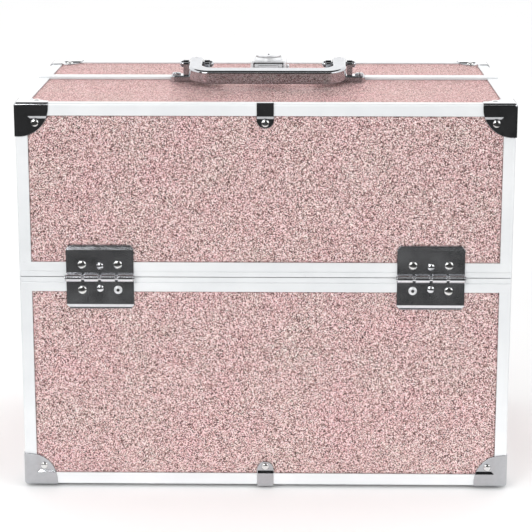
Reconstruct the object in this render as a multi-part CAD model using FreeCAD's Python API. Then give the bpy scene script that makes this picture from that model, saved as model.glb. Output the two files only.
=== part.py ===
"""Makeup train case: an aluminium-framed box whose two half lids swing out and carry cantilever trays.

Frame: X is the width, the front is at -Y, Z is up, and the origin is on the floor under the middle.
The front half is modelled first, and what repeats on the rear half is its mirror image in Y.
"""
import FreeCAD, Part
import math
import os

V = FreeCAD.Vector

# Case shell, millimetres
WIDTH = 365.0
DEPTH = 240.0
FOOT_HEIGHT = 3.0
BASE_HEIGHT = 162.0
LID_HEIGHT = 129.4
SEAM_GAP = 0.6
SPLIT_Y = 14.0            # where the lid is split, a little behind the middle
SPLIT_GAP = 0.8

# Aluminium edge rails and the boards that they hold
RAIL_WIDTH = 9.0
RIM_RAIL_HEIGHT = 10.8
RAIL_DEPTH = 6.0          # outer leg, board and inner leg together
BOARD = 4.0
RAIL_LEG = 1.0            # the rail stands this much proud of the board
EDGE_ROUND = 1.5
LINING = 1.0
GROOVE_HEIGHT = 0.7
GROOVE_DEPTH = 0.5
GROOVE_OFFSET = 4.2       # from the rim down to the groove line
BOARD_CUT = 2.0           # the board ends this far inside a rim rail

# Corner caps, centre clips and their rivets
CAP_SIZE = 24.5
CAP_SHEET = 0.7
RAMP_START = 0.3          # from the rail's edge to where the sheet starts to slope
CAP_RAMP = 1.9            # the sheet slopes down to the board over this width
CAP_LOBE = 22.0
RIVET_PLACE = 14.4        # from both outer faces
RIVET_RADIUS = 2.9
RIVET_DOME = 1.3
CLIP_WIDTH = 12.4
CLIP_ROUND = 12.0         # where the tab's round end has its centre
CLIP_WRAP = 4.0

# Lid hinges
HINGE_X = 122.5
HINGE_OUT = 3.2           # from the rail face out to the hinge axis
HINGE_WIDTH = 50.0
LEAF_DROP = 24.1
LEAF = 1.2
BARREL_RADIUS = 2.9
PIN_RADIUS = 1.5
HOLE_FIT = 0.05
KNUCKLES = 4
LOWER_KNUCKLES = (0, 2)
UPPER_KNUCKLES = (1, 3)
KNUCKLE_GAP = 2.2         # the pin shows between knuckles
PIN_PLAY = 0.25           # from the outer knuckles to the pin's heads
LEAF_RIVET_X = 13.3
LEAF_RIVET_Z = 9.6
LEAF_RIVET_RADIUS = 3.2
LEAF_CHAMFER = 2.5
LEAF_BEND = 3.4           # the leaf's end slopes down to the board over this height
HINGE_CLEAR = 0.3
BOSS_Z = 8.5
BOSS_SPHERE = 4.0
BOSS_HEIGHT = 0.9
PIN_HEAD = 2.3
PIN_HEAD_THICK = 0.8
SHANK_RADIUS = 1.6
CAP_SHANK = 3.2
LEAF_SHANK = 5.4
HOLLOW_RIVET = 1.2

# The strip on the rear half's edge of the split
SEAM_STRIP_WIDTH = 13.0
SEAM_RAISE = 1.0

# Trays and their parallel bars
LEAN_IN = 20.0
LEAN_OUT = 40.0
LID_TURN = 95.0
BAR_PIVOT_IN = 36.0       # from the hinge axis towards the middle of the case
BAR_PIVOT_DOWN = 18.0
BAR_REACH = 60.0          # from the bar's lower pivot to the lower tray
TRAY_HEIGHT = 36.0
TRAY_SPACE = 2.0
TRAY_PIVOT_UP = 6.0
TRAY_IN = 12.7            # from the hinge axis to the tray's outer wall
TRAY_HALF_LENGTH = 168.0
TRAY_WALL = 2.0
FRONT_TRAY_DEPTH = 118.0
REAR_TRAY_DEPTH = 92.0
FRONT_BAR_SPACING = 34.0
REAR_BAR_SPACING = 20.0
BAR_WIDTH = 12.0
BAR_SHEET = 2.0
BAR_RIVET = 2.5
GUIDE_PIN = 2.0
SLOT_HALF = 3.0
SLOT_RIM = 6.0
OPEN_PIVOT_GAP = 0.3      # extra clearance round the inner bars' tray rivets
TRAY_CORNER = 6.0
POCKET_CORNER = 4.5
POCKET_FLOOR = 1.0
LOWER_ROWS = [(1.0, 3)]
UPPER_ROWS = [(0.36, 2), (0.64, 4)]
BAR_FACE = 170.0          # the bar's inner face
BAR_BACK = BAR_FACE + BAR_SHEET
PIVOT_SIDE = 0.2          # side play at the pivots
STUD_HEAD = 4.5
STUD_HEAD_IN = 1.3        # from the bar's inner face to the head's
STUD_SHOULDER = 5.0
STUD_SHANK = 4.0
RIVET_HEAD_IN = 2.9
RIVET_HEAD_OUT = 4.0
RIVET_HEAD_THICK = 1.0
PLATE_FACE = 174.0
PLATE_BACK = 175.5
PLATE_FIXING = 11.0
SPACER_RADIUS = 4.0

# Handle
HANDLE_X = 56.0           # pivot centres are twice this apart
HANDLE_Y = 6.0
PIVOT_HEIGHT = 13.5
SEAM_CLEAR = 0.2          # fittings stop this far short of the split
BRACKET_LENGTH = 41.0
BRACKET_DEPTH = 14.4
BRACKET_HEIGHT = 5.0
BRACKET_CORNER = 3.0
BRACKET_ROUND = 1.2
EAR_X = 8.3
EAR_SHEET = 4.4
EAR_RADIUS = 3.2
EAR_ROOT = 1.5
HANDLE_PIN = 1.8
PIN_BALL = 2.6
PIN_BALL_OUT = 0.4
SCREW_X = 16.0
SCREW_HEAD = 3.4
SCREW_HEAD_HEIGHT = 1.6
SCREW_ROUND = 0.9
SCREW_CROSS = 2.0
SCREW_CUT = 0.4
SCREW_WEB = 0.6
ARM_WIDTH = 10.4
BAIL_THICK = 10.8
BAIL_REACH = 36.0
GRIP_DEPTH = 11.0
BAIL_CORNER = 16.0
BAIL_INNER = 9.0
BAIL_ROUND = 2.2
LOBE_RADIUS = 5.6
BAIL_DROOP = 10.2         # degrees below level when folded

# Lock
LOCK_Y = 45.0
FLANGE_X = 19.0
FLANGE_Y = 13.5
FLANGE_THICK = 2.2
FLANGE_CORNER = 5.0
BLOCK_X = 14.5
BLOCK_Y = 12.0
BLOCK_HEIGHT = 12.0
BLOCK_CORNER = 3.0
BLOCK_ROUND = 1.0
FINE_ROUND = 0.8
CONE_HEIGHT = 2.5
CONE_EDGE = 0.5
CYLINDER_RADIUS = 9.9
DISC_HEIGHT = 1.6
DISC_ROUND = 0.6
DISC_LIFT = 0.1
PLUG_RADIUS = 6.0
PLUG_DEPTH = 5.0
PLUG_END = 0.3
KEYWAY = 1.4
KEYWAY_LENGTH = 6.5
KEYWAY_DEPTH = 3.0
LUG_REACH = 2.2
LUG_Y = (-6.0, 2.0)
LUG_Z = (1.0, 8.0)
WINDOW_X = 12.0
WINDOW_LOW = 4.4
WINDOW_HIGH = 11.0
WINDOW_DEPTH = 4.2
FLAP_PIN = 0.7
FLAP_PIN_IN = 1.5
FLAP_PIN_DOWN = 2.1
FLAP_PIN_END = 1.2
FLAP_CLEAR = 0.3          # the flap's face lies this far inside the block's
FLAP_GAP = 2.6            # open under the flap
FLAP_SIDE = 0.9
FLAP_TOP = 0.9            # open above the flap
FLAP_THICK = 2.4
FLAP_ROUND = 0.9
FLAP_GRIP_INSET = 3.0
FLAP_GRIP_OUT = 0.7
FLAP_GRIP_IN = 0.5
FLAP_GRIP_HEIGHT = 1.4
STRIKE_X = 11.0
STRIKE_DEPTH = 12.0
STRIKE_SHEET = 1.2
STRIKE_CORNER = 2.5
STRIKE_LIP = 3.6
STRIKE_LIP_INSET = 3.0

# Feet and floor
FOOT_X = 150.0
FOOT_Y = 95.0
FOOT_RADIUS = 9.0
FOOT_STEM = 3.0
PAD_THICK = 3.0
PAD_CLEAR = 0.5

# Levels that follow
BASE_FLOOR = FOOT_HEIGHT
BASE_RIM = BASE_FLOOR + BASE_HEIGHT
LID_RIM = BASE_RIM + SEAM_GAP
LID_TOP = LID_RIM + LID_HEIGHT
AXIS_Z = BASE_RIM + SEAM_GAP / 2
AXIS_Y = -DEPTH / 2 - HINGE_OUT
HINGE_AXIS = (AXIS_Y, AXIS_Z)
HALF_W = WIDTH / 2
HALF_D = DEPTH / 2
FRONT_SEAM = SPLIT_Y - SPLIT_GAP / 2
REAR_SEAM = SPLIT_Y + SPLIT_GAP / 2
UPPER_REACH = BAR_REACH + (TRAY_HEIGHT + TRAY_SPACE) / math.cos(math.radians(LEAN_OUT))
BAR_TURN = LEAN_IN + LEAN_OUT
LINING_FACE = HALF_W - RAIL_DEPTH
FAR = 400.0
TOUCH = 1e-6
MARGIN = 1.0              # a cut runs this far past a face, and an edge this near counts as on it
THIRD_TURN = 120
THREE_FACES = range(3)    # the faces that meet at a corner


def box(x0, x1, y0, y1, z0, z1):
    return Part.makeBox(x1 - x0, y1 - y0, z1 - z0, V(x0, y0, z0))


def cylinder(radius, start, along):
    """A round bar from start, with along giving both its direction and its length."""
    return Part.makeCylinder(radius, along.Length, start, along)


def across(radius, x0, x1, place):
    """A round bar along X at a (y, z) place."""
    return cylinder(radius, V(x0, *place), V(x1 - x0, 0, 0))


def prism_x(points, x0, x1):
    """An outline of (y, z) points carried from x0 to x1."""
    wire = Part.makePolygon([V(x0, y, z) for y, z in points] + [V(x0, *points[0])])
    return Part.Face(wire).extrude(V(x1 - x0, 0, 0))


def mirror_x(shape):
    return shape.mirror(V(0, 0, 0), V(1, 0, 0))


def mirror_y(shape):
    return shape.mirror(V(0, 0, 0), V(0, 1, 0))


def both_x(shape):
    return [shape, mirror_x(shape)]


def both_y(shape):
    return [shape, mirror_y(shape)]


def four(shape):
    return both_x(shape) + both_x(mirror_y(shape))


def fused(shapes):
    joined = shapes[0]
    for shape in shapes[1:]:
        joined = joined.fuse(shape)
    return joined.removeSplitter()


def cut_all(shape, tools):
    for tool in tools:
        shape = shape.cut(tool)
    return shape


def save(node, shapes):
    solids = [solid for shape in shapes for solid in shape.Solids]
    Part.makeCompound(solids).exportStep("parts/" + node + ".step")


def rounded(shape, radius, keep):
    """Round the edges of a shape that the test picks by their middle point."""
    edges = [edge for edge in shape.Edges if keep(edge.CenterOfMass, edge)]
    return shape.makeFillet(radius, edges)


def above(level):
    """A test for the edges that lie at this height or higher."""
    return lambda point, edge: point.z > level - TOUCH


def upright(point, edge):
    return edge.BoundBox.ZLength > MARGIN and edge.BoundBox.XLength + edge.BoundBox.YLength < TOUCH


# ---- the shell: rounded outer boxes, rails and boards ----

def base_envelope():
    raw = box(-HALF_W, HALF_W, -HALF_D, HALF_D, BASE_FLOOR, BASE_RIM)
    return rounded(raw, EDGE_ROUND, lambda point, edge: point.z < BASE_RIM - MARGIN)


def lid_envelope():
    raw = box(-HALF_W, HALF_W, -HALF_D, HALF_D, LID_RIM, LID_TOP)
    return rounded(raw, EDGE_ROUND, lambda point, edge: point.z > LID_RIM + MARGIN)


def front_only(shape):
    return shape.common(box(-FAR, FAR, -FAR, FRONT_SEAM, -FAR, FAR))


def rear_only(shape):
    return shape.common(box(-FAR, FAR, REAR_SEAM, FAR, -FAR, FAR))


def wall_boards(bottom, top):
    """Front, rear and right boards between two levels; they stop short of the rails' corners."""
    inset = RAIL_DEPTH
    face = RAIL_LEG
    front = box(inset - HALF_W, HALF_W - inset, face - HALF_D, face + BOARD - HALF_D, bottom, top)
    side = box(HALF_W - face - BOARD, HALF_W - face, inset - HALF_D, HALF_D - inset, bottom, top)
    return front, mirror_y(front), side


BASE_BOARDS = wall_boards(BASE_FLOOR + RAIL_DEPTH, BASE_RIM - BOARD_CUT)
LID_BOARDS = wall_boards(LID_RIM + BOARD_CUT, LID_TOP - RAIL_DEPTH)


def level_board(bottom):
    inset = RAIL_DEPTH
    return box(inset - HALF_W, HALF_W - inset, inset - HALF_D, HALF_D - inset, bottom, bottom + BOARD)


FLOOR_BOARD = level_board(BASE_FLOOR + RAIL_LEG)
TOP_BOARD = level_board(LID_TOP - RAIL_LEG - BOARD)


def hollow(envelope, bottom, top):
    """The shell that the rails are cut from, without the boards in their channels."""
    half_x = HALF_W - RAIL_DEPTH
    half_y = HALF_D - RAIL_DEPTH
    inner = box(-half_x, half_x, -half_y, half_y, bottom, top)
    return envelope.cut(inner)


BASE_SHELL = cut_all(hollow(base_envelope(), BASE_FLOOR + RAIL_DEPTH, FAR),
                     list(BASE_BOARDS) + [mirror_x(BASE_BOARDS[2]), FLOOR_BOARD])
LID_SHELL = cut_all(hollow(lid_envelope(), -FAR, LID_TOP - RAIL_DEPTH),
                    list(LID_BOARDS) + [mirror_x(LID_BOARDS[2]), TOP_BOARD])
CORNER_X = HALF_W - RAIL_WIDTH
CORNER_Y = HALF_D - RAIL_WIDTH


def corner_posts(shell, bottom, top):
    return [shell.common(post) for post in four(box(CORNER_X, FAR, CORNER_Y, FAR, bottom, top))]


def level_rails(shell, bottom, top):
    """Front and rear rails over the whole width, with side rails between them."""
    front = shell.common(box(-FAR, FAR, -FAR, -CORNER_Y, bottom, top))
    side = shell.common(box(CORNER_X, FAR, -CORNER_Y, CORNER_Y, bottom, top))
    return both_y(front) + both_x(side)


def grooved(rails, low):
    """A fine line pressed along the rim rails."""
    high = low + GROOVE_HEIGHT
    outer = box(-FAR, FAR, -FAR, FAR, low, high)
    reach_x = HALF_W - GROOVE_DEPTH
    reach_y = HALF_D - GROOVE_DEPTH
    ring = outer.cut(box(-reach_x, reach_x, -reach_y, reach_y, low, high))
    return [rail.cut(ring) for rail in rails]


def base_rails():
    top_band = BASE_RIM - RIM_RAIL_HEIGHT
    bottom_band = BASE_FLOOR + RAIL_WIDTH
    save("base_corner_posts", corner_posts(BASE_SHELL, bottom_band, top_band))
    save("base_bottom_rails", level_rails(BASE_SHELL, -FAR, bottom_band))
    rim = level_rails(BASE_SHELL, top_band, FAR)
    rim = grooved(rim, BASE_RIM - GROOVE_OFFSET)
    save("base_rim_rails", [cut_all(rail, on_four(leaf_holes(-1))) for rail in rim])


def lid_rails(name, half):
    low_band = LID_RIM + RIM_RAIL_HEIGHT
    high_band = LID_TOP - RAIL_WIDTH
    rim = grooved(level_rails(LID_SHELL, -FAR, low_band), LID_RIM + GROOVE_OFFSET - GROOVE_HEIGHT)
    edges = corner_posts(LID_SHELL, low_band, high_band) + level_rails(LID_SHELL, high_band, FAR)
    rim = [cut_all(rail, on_four(leaf_holes(1))) for rail in rim]
    if name == "rear":
        edges = [edge.cut(seam_band()) for edge in edges]
        rim = [rail.cut(seam_band()) for rail in rim]
    save(name + "_lid_rim_rails", [half(rail) for rail in rim])
    save(name + "_lid_edge_rails", [half(edge) for edge in edges])


def seam_band():
    """The strip along the rear half's edge: raised on top, flush with the rails at the sides."""
    raw = box(-HALF_W, HALF_W, REAR_SEAM, REAR_SEAM + SEAM_STRIP_WIDTH, LID_RIM, LID_TOP + SEAM_RAISE)
    ends = HALF_W - MARGIN
    bent = rounded(raw, EDGE_ROUND, lambda point, edge: point.z > LID_TOP and abs(point.x) > ends)
    face = HALF_W - RAIL_LEG
    return bent.cut(box(-face, face, -FAR, FAR, -FAR, LID_TOP - RAIL_LEG))


# ---- rivets: a domed head on a shank ----

def rivet(place, outward, radius=RIVET_RADIUS, shank=CAP_SHANK, hollow=False):
    """The head stands on the surface at place, and the shank goes in from there."""
    sphere = (radius ** 2 + RIVET_DOME ** 2) / (2 * RIVET_DOME)
    ball = Part.makeSphere(sphere, place - outward * (sphere - RIVET_DOME))
    head = ball.common(cylinder(radius, place, outward * (RIVET_DOME + MARGIN)))
    solid = head.fuse(cylinder(SHANK_RADIUS, place, outward * -shank)).removeSplitter()
    if hollow:
        start = place - outward * MARGIN
        solid = solid.cut(cylinder(HOLLOW_RIVET, start, outward * (RIVET_DOME + 2 * MARGIN)))
    return solid


def rivet_hole(place, outward, shank=CAP_SHANK):
    return cylinder(SHANK_RADIUS, place, outward * -shank)


# ---- corner caps, worked out with their corner at the origin and the case along +X, +Y and +Z ----

def turned(shape, steps):
    """Carry X to Y, Y to Z and Z to X, so that one face's outline serves all three faces."""
    copy = shape.copy()
    for _ in range(steps):
        copy.rotate(V(0, 0, 0), V(1, 1, 1), THIRD_TURN)
    return copy


def cap_outline():
    """A square with a large round where it lies on the board."""
    low = -CAP_SHEET
    end = CAP_SIZE
    start = CAP_SIZE - CAP_LOBE
    middle = start + CAP_LOBE / math.sqrt(2)
    wire = Part.Wire([
        Part.LineSegment(V(low, low, low), V(end, low, low)).toShape(),
        Part.LineSegment(V(end, low, low), V(end, start, low)).toShape(),
        Part.Arc(V(end, start, low), V(middle, middle, low), V(start, end, low)).toShape(),
        Part.LineSegment(V(start, end, low), V(low, end, low)).toShape(),
        Part.LineSegment(V(low, end, low), V(low, low, low)).toShape()])
    return Part.Face(wire).extrude(V(0, 0, RAIL_LEG + CAP_SHEET))


def corner_block(low, high, radius):
    def at_corner(point, edge):
        return sum(abs(value - low) < TOUCH for value in (point.x, point.y, point.z)) == 2
    return rounded(box(low, high, low, high, low, high), radius, at_corner)


def corner_cap():
    shape = fused([turned(cap_outline(), step) for step in THREE_FACES])
    shape = shape.common(corner_block(-CAP_SHEET, CAP_SIZE, EDGE_ROUND + CAP_SHEET))
    case = corner_block(0, 2 * CAP_SIZE, EDGE_ROUND)
    recess = box(RAIL_WIDTH, FAR, RAIL_WIDTH, FAR, -FAR, RAIL_LEG)
    step = RAIL_WIDTH + RAMP_START
    foot = RAIL_LEG - CAP_SHEET
    slope = prism_x([(step, -CAP_SHEET), (step + CAP_RAMP, foot), (FAR, foot), (FAR, -CAP_SHEET)], 0, FAR)
    pocket = slope.common(slope.mirror(V(0, 0, 0), V(1, -1, 0)))
    case = cut_all(case, [turned(recess, index) for index in THREE_FACES])
    return cut_all(shape, [case] + [turned(pocket, index) for index in THREE_FACES])


CAP_RIVET = (V(RIVET_PLACE, RIVET_PLACE, RAIL_LEG - CAP_SHEET), V(0, 0, -1))
CAP_RIVETS = [turned(rivet(*CAP_RIVET), index) for index in THREE_FACES]
CAP_HOLES = [turned(rivet_hole(*CAP_RIVET), index) for index in THREE_FACES]
CORNER_CAP = cut_all(corner_cap(), CAP_HOLES)


def centre_clip():
    """A strap over the rail with a round tab on the board; the case is along +Y and +Z from the origin."""
    sheet = CAP_SHEET
    leg = RAIL_LEG
    step = RAIL_WIDTH + RAMP_START
    half = CLIP_WIDTH / 2
    end = CLIP_ROUND + half
    profile = [(CLIP_WRAP, -sheet), (-sheet, -sheet), (-sheet, step), (leg - sheet, step + CAP_RAMP),
               (leg - sheet, end), (leg, end), (leg, RAIL_WIDTH), (0, RAIL_WIDTH), (0, 0), (CLIP_WRAP, 0)]
    strap = prism_x(profile, -half, half)
    outline = box(-half, half, -FAR, FAR, -FAR, CLIP_ROUND)
    outline = outline.fuse(cylinder(half, V(0, -FAR, CLIP_ROUND), V(0, 2 * FAR, 0)))
    return strap.common(outline).cut(CLIP_HOLE)


CLIP_RIVET = (V(0, RAIL_LEG - CAP_SHEET, RIVET_PLACE), V(0, -1, 0))
CLIP_HOLE = rivet_hole(*CLIP_RIVET)
CENTRE_CLIP = centre_clip()


def at_base_corner(shape):
    return shape.translated(V(-HALF_W, -HALF_D, BASE_FLOOR))


def at_lid_corner(shape):
    return shape.mirror(V(0, 0, 0), V(0, 0, 1)).translated(V(-HALF_W, -HALF_D, LID_TOP))


def at_base_middle(shape):
    return shape.translated(V(0, -HALF_D, BASE_FLOOR))


def at_lid_middle(shape):
    return shape.mirror(V(0, 0, 0), V(0, 0, 1)).translated(V(0, -HALF_D, LID_TOP))


# ---- lid hinges, front pair; the rear pair is their mirror image ----

def leaf_profile(sign):
    """A leaf from the barrel over the rim rail, sloping down to the board at its end."""
    face = -HALF_D
    flat = LEAF_DROP - LEAF_BEND
    start = BARREL_RADIUS / 2
    points = [(face - LEAF, start), (face - LEAF, flat), (face + RAIL_LEG - LEAF, LEAF_DROP - LEAF),
              (face + RAIL_LEG - LEAF, LEAF_DROP), (face + RAIL_LEG, LEAF_DROP),
              (face + RAIL_LEG, LEAF_DROP - LEAF), (face, flat), (face, start)]
    return [(y, AXIS_Z + sign * z) for y, z in points]


def knuckle_span(index):
    width = HINGE_WIDTH / KNUCKLES
    low = HINGE_X - HINGE_WIDTH / 2 + index * width
    return low, low + width


def leaf_plate(sign):
    """The leaf of the right-hand hinge without its knuckles, its two far corners cut off."""
    low = HINGE_X - HINGE_WIDTH / 2
    high = low + HINGE_WIDTH
    leaf = prism_x(leaf_profile(sign), low, high)
    end = AXIS_Z + sign * LEAF_DROP
    for corner, inward in ((low, 1), (high, -1)):
        points = [V(corner, -FAR, end), V(corner + inward * LEAF_CHAMFER, -FAR, end),
                  V(corner, -FAR, end - sign * LEAF_CHAMFER), V(corner, -FAR, end)]
        leaf = leaf.cut(Part.Face(Part.makePolygon(points)).extrude(V(0, 2 * FAR, 0)))
    return leaf


def leaf_boss(sign):
    """A shallow dome pressed out of the leaf between its rivets."""
    middle = V(HINGE_X, -HALF_D - LEAF, AXIS_Z + sign * BOSS_Z)
    dome = Part.makeSphere(BOSS_SPHERE, middle + V(0, BOSS_SPHERE - BOSS_HEIGHT, 0))
    return dome.common(box(-FAR, FAR, -FAR, -HALF_D - LEAF / 2, -FAR, FAR))


def hinge_leaf(sign, own):
    """One leaf of the right-hand hinge; own lists the knuckles that belong to it."""
    leaf = leaf_plate(sign)
    for index in range(KNUCKLES):
        start, stop = knuckle_span(index)
        if index in own:
            start += PIN_PLAY if index == 0 else KNUCKLE_GAP / 2
            stop -= PIN_PLAY if index == KNUCKLES - 1 else KNUCKLE_GAP / 2
            leaf = leaf.fuse(across(BARREL_RADIUS, start, stop, HINGE_AXIS))
        else:
            leaf = leaf.cut(across(BARREL_RADIUS + HINGE_CLEAR, start, stop, HINGE_AXIS))
    leaf = leaf.cut(across(PIN_RADIUS + HOLE_FIT, 0, HALF_W, HINGE_AXIS))
    leaf = leaf.fuse(leaf_boss(sign)).removeSplitter()
    return cut_all(leaf, leaf_holes(sign))


def leaf_rivet_places(sign):
    return [(V(HINGE_X + side * LEAF_RIVET_X, -HALF_D - LEAF, AXIS_Z + sign * LEAF_RIVET_Z), V(0, -1, 0))
            for side in (-1, 1)]


def leaf_holes(sign):
    return [rivet_hole(place, outward, LEAF_SHANK) for place, outward in leaf_rivet_places(sign)]


def leaf_rivets(sign):
    """The lower rivet nearer the middle of the case is a hollow one."""
    rivets = []
    for index, (place, outward) in enumerate(leaf_rivet_places(sign)):
        hollow = sign < 0 and index == 0
        rivets.append(rivet(place, outward, LEAF_RIVET_RADIUS, LEAF_SHANK, hollow))
    return rivets


def hinge_pin():
    low = HINGE_X - HINGE_WIDTH / 2
    high = low + HINGE_WIDTH
    return fused([across(PIN_RADIUS, low, high, HINGE_AXIS),
                  across(PIN_HEAD, low - PIN_HEAD_THICK, low, HINGE_AXIS),
                  across(PIN_HEAD, high, high + PIN_HEAD_THICK, HINGE_AXIS)])


def pairs(shapes):
    return [copy for shape in shapes for copy in both_x(shape)]


def on_four(shapes):
    return [copy for shape in shapes for copy in four(shape)]


BASE_SHANKS = (on_four([at_base_corner(hole) for hole in CAP_HOLES])
               + both_y(at_base_middle(CLIP_HOLE)) + on_four(leaf_holes(-1)))
LID_SHANKS = (on_four([at_lid_corner(hole) for hole in CAP_HOLES])
              + both_y(at_lid_middle(CLIP_HOLE)) + on_four(leaf_holes(1)))


# ---- trays on parallel bars, front set; the rear set is worked out shallower and then mirrored ----

def bar_pivot(spacing, reach):
    """Where a pivot lies at rest, along a bar that starts spacing behind the outer bar."""
    lean = math.radians(LEAN_IN)
    y = AXIS_Y + BAR_PIVOT_IN + spacing + reach * math.sin(lean)
    return y, AXIS_Z - BAR_PIVOT_DOWN + reach * math.cos(lean)


def stud(spacing):
    """The fixed pivot in the base's side: inner head, bearing, shoulder and shank in the board."""
    place = bar_pivot(spacing, 0)
    return fused([across(STUD_HEAD, BAR_FACE - STUD_HEAD_IN, BAR_FACE - PIVOT_SIDE, place),
                  across(BAR_RIVET, BAR_FACE - PIVOT_SIDE, BAR_BACK + PIVOT_SIDE, place),
                  across(STUD_SHOULDER, BAR_BACK + PIVOT_SIDE, LINING_FACE, place),
                  stud_hole(spacing)])


def stud_hole(spacing):
    return across(BAR_RIVET, LINING_FACE, LINING_FACE + STUD_SHANK, bar_pivot(spacing, 0))


def bar(spacing):
    """A flat bar with round ends from the stud to the upper tray."""
    start = bar_pivot(spacing, 0)
    end = bar_pivot(spacing, UPPER_REACH)
    half = BAR_WIDTH / 2
    strip = box(BAR_FACE, BAR_BACK, -half, half, 0, UPPER_REACH)
    strip.rotate(V(0, 0, 0), V(1, 0, 0), -LEAN_IN)
    strip.translate(V(0, *start))
    shape = fused([strip, across(half, BAR_FACE, BAR_BACK, start), across(half, BAR_FACE, BAR_BACK, end)])
    shape = shape.cut(across(BAR_RIVET + HOLE_FIT, BAR_FACE, BAR_BACK, start))
    for reach in (BAR_REACH, UPPER_REACH):
        shape = shape.cut(across(BAR_RIVET, BAR_FACE, BAR_BACK, bar_pivot(spacing, reach)))
    return shape


def bar_rivet(spacing, reach, guide):
    """A rivet from inside the tray through its end wall and the bar; a guide pin carries on to the lid."""
    place = bar_pivot(spacing, reach)
    wall = TRAY_HALF_LENGTH - TRAY_WALL
    pieces = [across(RIVET_HEAD_IN, wall - PIVOT_SIDE - RIVET_HEAD_THICK, wall - PIVOT_SIDE, place),
              across(BAR_RIVET, wall - PIVOT_SIDE, BAR_BACK, place),
              across(STUD_HEAD, TRAY_HALF_LENGTH + PIVOT_SIDE, BAR_FACE, place),
              across(RIVET_HEAD_OUT, BAR_BACK, BAR_BACK + RIVET_HEAD_THICK, place)]
    if guide:
        pieces.append(across(GUIDE_PIN, BAR_BACK, PLATE_BACK + PIVOT_SIDE, place))
    return fused(pieces)


def tray_rows(depth, rows):
    """Pocket boxes as (x0, x1, y0, y1) inside a tray of this depth; rows lists (share, columns)."""
    pockets = []
    length = 2 * TRAY_HALF_LENGTH
    room = depth - TRAY_WALL * (len(rows) + 1)
    low = TRAY_WALL
    for share, columns in rows:
        deep = room * share
        wide = (length - TRAY_WALL * (columns + 1)) / columns
        for column in range(columns):
            left = -TRAY_HALF_LENGTH + TRAY_WALL + column * (wide + TRAY_WALL)
            pockets.append((left, left + wide, low, low + deep))
        low += deep + TRAY_WALL
    return pockets


def tray(reach, depth, spacing, rows):
    """An open moulded tray with pockets, its end walls bored for the bars' rivets."""
    outer_y = AXIS_Y + TRAY_IN
    floor = bar_pivot(0, reach)[1] - TRAY_PIVOT_UP
    top = floor + TRAY_HEIGHT
    body = box(-TRAY_HALF_LENGTH, TRAY_HALF_LENGTH, outer_y, outer_y + depth, floor, top)
    body = rounded(body, TRAY_CORNER, upright)
    for x0, x1, y0, y1 in tray_rows(depth, rows):
        pocket = box(x0, x1, outer_y + y0, outer_y + y1, floor + TRAY_WALL, top + MARGIN)
        pocket = rounded(pocket, POCKET_CORNER, upright)
        pocket = rounded(pocket, POCKET_FLOOR, lambda point, edge: point.z < floor + TRAY_WALL + TOUCH)
        body = body.cut(pocket)
    for offset, fit in ((0, HOLE_FIT), (spacing, OPEN_PIVOT_GAP)):
        hole = across(BAR_RIVET + fit, -FAR, FAR, bar_pivot(offset, reach))
        ends = box(TRAY_HALF_LENGTH - TRAY_WALL - MARGIN, FAR, -FAR, FAR, -FAR, FAR)
        body = cut_all(body, [hole.common(end) for end in both_x(ends)])
    return body


def pin_in_lid(turn):
    """Where the guide pin is, in the lid's own frame, once the lid has turned by this many degrees."""
    lean = math.radians(LEAN_IN - turn * BAR_TURN / LID_TURN)
    inward = BAR_PIVOT_IN + UPPER_REACH * math.sin(lean)
    height = UPPER_REACH * math.cos(lean) - BAR_PIVOT_DOWN
    angle = math.radians(turn)
    return V(0, inward * math.cos(angle) + height * math.sin(angle),
             height * math.cos(angle) - inward * math.sin(angle))


def slot_arc():
    """The circle through the pin's first, middle and last places: its centre, radius and end angles."""
    first, middle, last = (pin_in_lid(turn) for turn in (0, LID_TURN / 2, LID_TURN))
    circle = Part.Arc(first, middle, last).toShape().Curve
    angles = [math.atan2(point.z - circle.Center.z, point.y - circle.Center.y) for point in (last, first)]
    return circle.Center, circle.Radius, angles


def on_arc(centre, radius, angle):
    return centre + V(0, radius * math.cos(angle), radius * math.sin(angle))


def arc_band(half, extra, x0, x1):
    """A band along the slot's arc, with round ends, carried on by extra millimetres at both ends."""
    centre, radius, (low, high) = slot_arc()
    low -= extra / radius
    high += extra / radius
    middle = (low + high) / 2
    inner = radius - half
    outer = radius + half
    turn = half / radius
    wire = Part.Wire([
        Part.Arc(*[on_arc(centre, outer, angle) for angle in (low, middle, high)]).toShape(),
        Part.Arc(on_arc(centre, outer, high), on_arc(centre, radius, high + turn),
                 on_arc(centre, inner, high)).toShape(),
        Part.Arc(*[on_arc(centre, inner, angle) for angle in (high, middle, low)]).toShape(),
        Part.Arc(on_arc(centre, inner, low), on_arc(centre, radius, low - turn),
                 on_arc(centre, outer, low)).toShape()])
    band = Part.Face(wire).extrude(V(x1 - x0, 0, 0))
    return band.translated(V(x0, AXIS_Y, AXIS_Z))


def slot_plate_fixings():
    centre, radius, (low, high) = slot_arc()
    reach = PLATE_FIXING / radius
    places = [on_arc(centre, radius, angle) for angle in (low - reach, high + reach)]
    return [(place.y + AXIS_Y, place.z + AXIS_Z) for place in places]


def slot_plate():
    """The guide on the lid's side wall: a slotted plate on two spacers."""
    plate = arc_band(SLOT_HALF + SLOT_RIM, PLATE_FIXING, PLATE_FACE, PLATE_BACK)
    plate = plate.cut(arc_band(SLOT_HALF, 0, PLATE_FACE - MARGIN, PLATE_BACK + MARGIN))
    for place in slot_plate_fixings():
        plate = plate.fuse(across(SPACER_RADIUS, PLATE_BACK, LINING_FACE, place))
    return cut_all(plate, slot_plate_rivets())


def slot_plate_rivets():
    end = LINING_FACE + STUD_SHANK
    return [across(SHANK_RADIUS, PLATE_FACE, end, place) for place in slot_plate_fixings()]


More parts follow.
